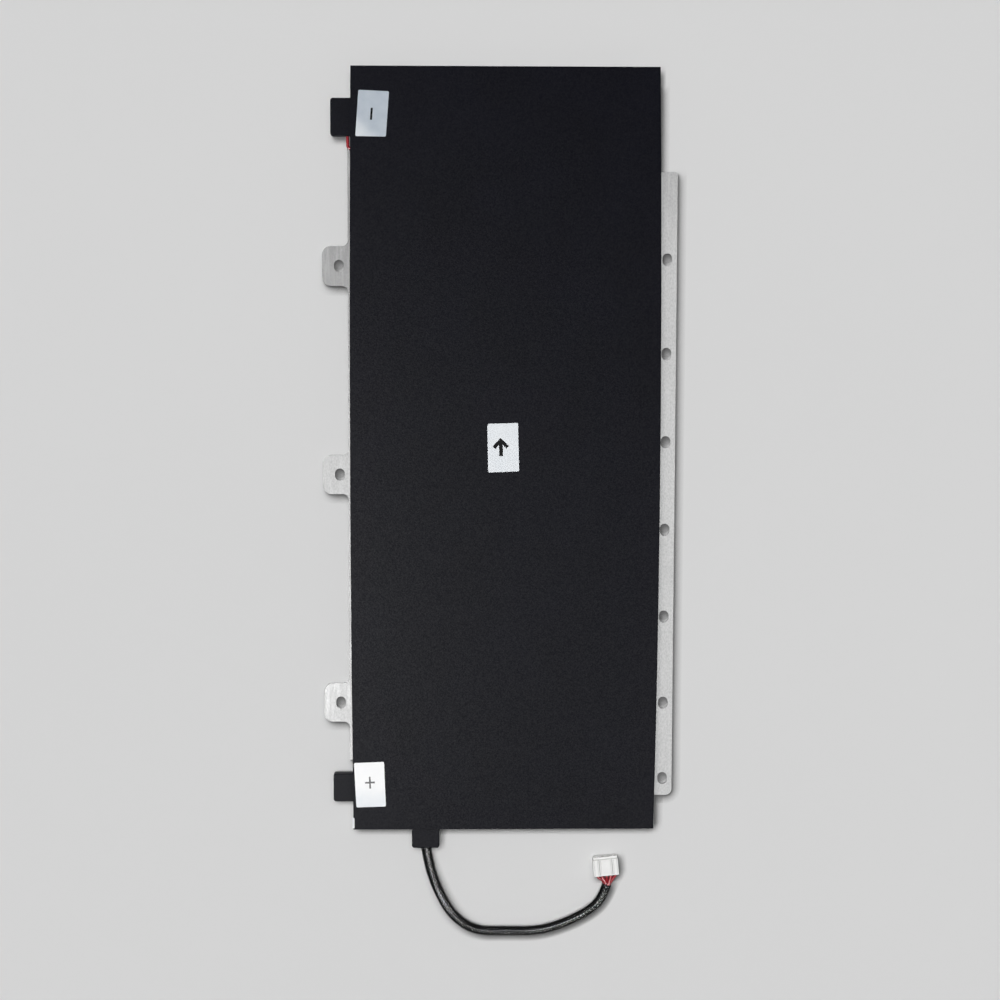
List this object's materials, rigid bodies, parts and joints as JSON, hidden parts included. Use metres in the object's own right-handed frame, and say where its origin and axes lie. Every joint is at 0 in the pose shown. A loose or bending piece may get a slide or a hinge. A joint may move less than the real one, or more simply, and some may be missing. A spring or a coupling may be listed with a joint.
{
  "type": "pouch cell battery module",
  "caption": "Flat battery module of pouch cells in series: black cover on an aluminium plate with slotted flange and tabs, capped terminals, labels and a sleeved sense lead.",
  "frame": {"origin": "under the middle of the pack's outline, without its lead, on the plate's underside", "axes": "+X towards the slotted flange, +Y towards the negative terminal's end, +Z out of the black cover"},
  "size_m": [0.1996, 0.4954, 0.0132],
  "materials": {
    "plate_aluminium": "fine brushed sheet, matte",
    "black_cover": "black film on hard board, fine matte grain",
    "black_wall": "matte black",
    "cap_black": "moulded matte black",
    "boot_black": "moulded matte black",
    "label_white": "coated white label",
    "strip_white": "white insulating strip",
    "insulation": "insulating paper",
    "thermal_pad": "soft silicone pad",
    "foam": "closed-cell foam",
    "pouch_foil": "aluminium laminate, satin",
    "electrode": "coated electrode foils",
    "copper_tab": "nickel-plated copper",
    "aluminium_tab": "bare foil",
    "tab_film": "sealing film",
    "busbar": "nickel-plated copper",
    "wire_red": "silicone insulation",
    "sleeve_black": "braided black sleeve",
    "connector_white": "moulded nylon",
    "contact": "tin-plated contact"
  },
  "bodies": {
    "pack": {"mounting_plate": "plate_aluminium", "left_insulation": "insulation", "right_insulation": "insulation", "cell_spacers": "foam", "busbar_1_2": "busbar", "busbar_2_3": "busbar", "busbar_3_4": "busbar", "negative_terminal": "busbar", "positive_terminal": "busbar", "left_wall": "black_wall", "right_wall": "black_wall", "negative_end_wall": "black_wall", "positive_end_wall": "black_wall", "corner_strip": "strip_white", "top_board": "black_cover", "negative_label": "label_white", "centre_label": "label_white", "positive_label": "label_white", "cable_boot": "boot_black", "lead_sleeve": "sleeve_black", "connector_housing": "connector_white", "connector_contacts": "contact", "connector_wires": "wire_red", "thermal_pad_1": "thermal_pad", "foam_pad_1": "foam", "cell_1_pouch": "pouch_foil", "cell_1_electrode_stack": "electrode", "cell_1_positive_tab": "aluminium_tab", "cell_1_negative_tab": "copper_tab", "cell_1_tab_seals": "tab_film", "thermal_pad_2": "thermal_pad", "foam_pad_2": "foam", "cell_2_pouch": "pouch_foil", "cell_2_electrode_stack": "electrode", "cell_2_positive_tab": "aluminium_tab", "cell_2_negative_tab": "copper_tab", "cell_2_tab_seals": "tab_film", "thermal_pad_3": "thermal_pad", "foam_pad_3": "foam", "cell_3_pouch": "pouch_foil", "cell_3_electrode_stack": "electrode", "cell_3_positive_tab": "aluminium_tab", "cell_3_negative_tab": "copper_tab", "cell_3_tab_seals": "tab_film", "thermal_pad_4": "thermal_pad", "foam_pad_4": "foam", "cell_4_pouch": "pouch_foil", "cell_4_electrode_stack": "electrode", "cell_4_positive_tab": "aluminium_tab", "cell_4_negative_tab": "copper_tab", "cell_4_tab_seals": "tab_film", "sense_wire_1": "wire_red", "sense_wire_2": "wire_red", "sense_wire_3": "wire_red", "sense_wire_4": "wire_red", "sense_wire_5": "wire_red"},
    "negative_cap": {"negative_terminal_cap": "cap_black"},
    "positive_cap": {"positive_terminal_cap": "cap_black"}
  },
  "joints": [
    {"name": "negative_cap_slide", "type": "slide", "parent": "pack", "child": "negative_cap", "axis": [-1, 0, 0], "range_m": [0, 0.025]},
    {"name": "positive_cap_slide", "type": "slide", "parent": "pack", "child": "positive_cap", "axis": [-1, 0, 0], "range_m": [0, 0.025]}
  ]
}
